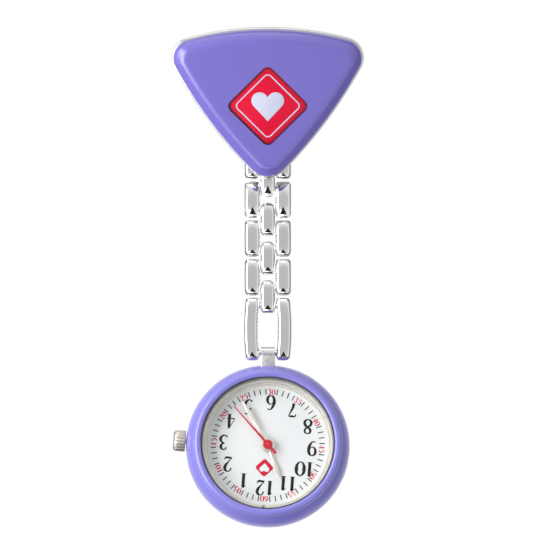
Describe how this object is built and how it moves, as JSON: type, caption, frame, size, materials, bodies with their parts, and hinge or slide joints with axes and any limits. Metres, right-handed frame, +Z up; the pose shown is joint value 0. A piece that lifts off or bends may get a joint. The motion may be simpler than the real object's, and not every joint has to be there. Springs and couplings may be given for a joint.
{
  "type": "nurse's fob watch",
  "caption": "Hanging fob watch: triangular pin brooch, jointed metal link chain and a small round quartz watch with its dial upside down.",
  "frame": {"origin": "on the axis of the brooch's pin wire, from which the watch hangs, in the middle of the brooch's width", "axes": "+Z is up along the hanging chain, +X runs along the pin wire towards its point, and the dial faces -Y"},
  "size_m": [0.0328, 0.0144, 0.0846],
  "materials": {
    "nickel": "polished nickel plate",
    "lilac_enamel": "pearl lilac, glossy",
    "red_enamel": "glossy",
    "white_enamel": "glossy",
    "spring_steel": "bright drawn wire",
    "chain_steel": "polished",
    "lilac_case": "pearl lilac over die-cast alloy, glossy",
    "stainless": "brushed",
    "seal_rubber": "matt",
    "clear": "clear mineral glass",
    "white_plastic": "satin",
    "silver_ring": "satin silver",
    "dial_white": "semi-matt white print on brass",
    "movement_brass": "bright, nickel washed",
    "battery_steel": "bright",
    "board_green": "solder resist",
    "copper": "enamelled copper wire",
    "hand_silver": "bright, pressed",
    "hand_red": "red lacquer",
    "magnet": "sintered magnet and plastic pinion",
    "crown_metal": "polished, warm"
  },
  "bodies": {
    "brooch": {"base_plate": "nickel", "enamel_cover": "lilac_enamel", "badge_plate": "red_enamel", "badge_motif": "white_enamel", "pin_bar": "nickel", "brooch_rivets": "nickel", "catch_housing": "nickel", "brooch_lug": "nickel"},
    "brooch_pin_wire": {"pin_wire": "spring_steel"},
    "roll_over_catch": {"catch_sleeve": "nickel"},
    "pair_1": {"outer_link_1_left": "chain_steel", "outer_link_1_right": "chain_steel", "link_pins_1": "chain_steel"},
    "centre_1": {"centre_link_1": "chain_steel"},
    "pair_2": {"outer_link_2_left": "chain_steel", "outer_link_2_right": "chain_steel", "link_pins_2": "chain_steel"},
    "centre_2": {"centre_link_2": "chain_steel"},
    "pair_3": {"outer_link_3_left": "chain_steel", "outer_link_3_right": "chain_steel", "link_pins_3": "chain_steel"},
    "centre_3": {"centre_link_3": "chain_steel"},
    "pair_4": {"outer_link_4_left": "chain_steel", "outer_link_4_right": "chain_steel", "link_pins_4": "chain_steel"},
    "centre_4": {"centre_link_4": "chain_steel"},
    "end_link": {"end_link_left": "chain_steel", "end_link_right": "chain_steel", "end_link_pins": "chain_steel"},
    "watch_head": {"case_body": "lilac_case", "case_lug": "nickel", "case_back": "stainless", "back_gasket": "seal_rubber", "crystal": "clear", "crystal_gasket": "white_plastic", "rehaut_ring": "silver_ring", "dial": "dial_white", "movement_ring": "white_plastic", "main_plate": "movement_brass", "train_bridge": "movement_brass", "bridge_screws": "stainless", "battery": "battery_steel", "battery_clip": "spring_steel", "circuit_board": "board_green", "quartz_can": "nickel", "coil": "copper", "stator": "stainless"},
    "minute_arbor": {"centre_wheel": "movement_brass", "minute_hand": "hand_silver"},
    "hour_arbor": {"hour_wheel": "movement_brass", "hour_hand": "hand_silver"},
    "second_arbor": {"second_wheel": "movement_brass", "second_hand": "hand_red"},
    "minute_wheel_arbor": {"minute_wheel": "movement_brass"},
    "third_wheel_arbor": {"third_wheel": "movement_brass"},
    "step_wheel_arbor": {"step_wheel": "white_plastic"},
    "rotor_arbor": {"rotor": "magnet"},
    "setting_slide": {"setting_lever": "stainless"},
    "crown_and_stem": {"crown": "crown_metal", "stem": "spring_steel"}
  },
  "joints": [
    {"name": "pin_swing", "type": "hinge", "parent": "brooch", "child": "brooch_pin_wire", "pos_m": [-0.0105, 0, 0], "axis": [0, -0.2079, 0.9781], "range_deg": [0, 90]},
    {"name": "catch_roll", "type": "hinge", "parent": "brooch", "child": "roll_over_catch", "pos_m": [0, 0, 0], "axis": [1, 0, 0], "range_deg": [0, 72]},
    {"name": "pair_1_swing", "type": "hinge", "parent": "brooch", "child": "pair_1", "pos_m": [0, 0.00142, -0.01534], "axis": [1, 0, 0], "range_deg": [0, 75]},
    {"name": "centre_1_swing", "type": "hinge", "parent": "pair_1", "child": "centre_1", "pos_m": [0, 0.00142, -0.01892], "axis": [-1, 0, 0], "range_deg": [-60, 10]},
    {"name": "pair_2_swing", "type": "hinge", "parent": "centre_1", "child": "pair_2", "pos_m": [0, 0.00142, -0.0219], "axis": [1, 0, 0], "range_deg": [-60, 60]},
    {"name": "centre_2_swing", "type": "hinge", "parent": "pair_2", "child": "centre_2", "pos_m": [0, 0.00142, -0.02548], "axis": [-1, 0, 0], "range_deg": [-60, 60]},
    {"name": "pair_3_swing", "type": "hinge", "parent": "centre_2", "child": "pair_3", "pos_m": [0, 0.00142, -0.02846], "axis": [1, 0, 0], "range_deg": [-60, 60]},
    {"name": "centre_3_swing", "type": "hinge", "parent": "pair_3", "child": "centre_3", "pos_m": [0, 0.00142, -0.03204], "axis": [-1, 0, 0], "range_deg": [-60, 60]},
    {"name": "pair_4_swing", "type": "hinge", "parent": "centre_3", "child": "pair_4", "pos_m": [0, 0.00142, -0.03502], "axis": [1, 0, 0], "range_deg": [-60, 60]},
    {"name": "centre_4_swing", "type": "hinge", "parent": "pair_4", "child": "centre_4", "pos_m": [0, 0.00142, -0.0386], "axis": [-1, 0, 0], "range_deg": [-60, 60]},
    {"name": "end_link_swing", "type": "hinge", "parent": "centre_4", "child": "end_link", "pos_m": [0, 0.00142, -0.04158], "axis": [1, 0, 0], "range_deg": [-60, 60]},
    {"name": "watch_head_swing", "type": "hinge", "parent": "end_link", "child": "watch_head", "pos_m": [0, 0.00142, -0.04958], "axis": [-1, 0, 0], "range_deg": [-72, 72]},
    {"name": "minute_spin", "type": "hinge", "parent": "watch_head", "child": "minute_arbor", "pos_m": [0, 0.0011, -0.06549], "axis": [0, 0.9903, -0.1392], "continuous": true},
    {"name": "hour_spin", "type": "hinge", "parent": "watch_head", "child": "hour_arbor", "pos_m": [0, 0.0011, -0.06549], "axis": [0, 0.9903, -0.1392], "continuous": true},
    {"name": "second_spin", "type": "hinge", "parent": "watch_head", "child": "second_arbor", "pos_m": [0, 0.0011, -0.06549], "axis": [0, 0.9903, -0.1392], "continuous": true},
    {"name": "minute_wheel_spin", "type": "hinge", "parent": "watch_head", "child": "minute_wheel_arbor", "pos_m": [-0.00123, 0.00085, -0.0673], "axis": [0, 0.9903, -0.1392], "continuous": true},
    {"name": "third_wheel_spin", "type": "hinge", "parent": "watch_head", "child": "third_wheel_arbor", "pos_m": [0.0002, 0.00084, -0.06733], "axis": [0, 0.9903, -0.1392], "continuous": true},
    {"name": "step_wheel_spin", "type": "hinge", "parent": "watch_head", "child": "step_wheel_arbor", "pos_m": [-0.00068, 0.0013, -0.0641], "axis": [0, 0.9903, -0.1392], "continuous": true},
    {"name": "rotor_spin", "type": "hinge", "parent": "watch_head", "child": "rotor_arbor", "pos_m": [-0.00173, 0.0014, -0.0634], "axis": [0, 0.9903, -0.1392], "continuous": true},
    {"name": "crown_pull", "type": "slide", "parent": "watch_head", "child": "setting_slide", "axis": [-0.9976, 0.0097, 0.0691], "range_m": [0, 0.0008]},
    {"name": "crown_turn", "type": "hinge", "parent": "setting_slide", "child": "crown_and_stem", "pos_m": [-0.01197, 0.00122, -0.06466], "axis": [-0.9976, 0.0097, 0.0691], "continuous": true}
  ],
  "couplings": [
    {"joint": "hour_spin", "follows": "minute_spin", "ratio": 0.083333},
    {"joint": "second_spin", "follows": "minute_spin", "ratio": 60},
    {"joint": "minute_wheel_spin", "follows": "minute_spin", "ratio": -0.33333},
    {"joint": "third_wheel_spin", "follows": "minute_spin", "ratio": -8},
    {"joint": "step_wheel_spin", "follows": "minute_spin", "ratio": -300},
    {"joint": "rotor_spin", "follows": "minute_spin", "ratio": 1800}
  ]
}
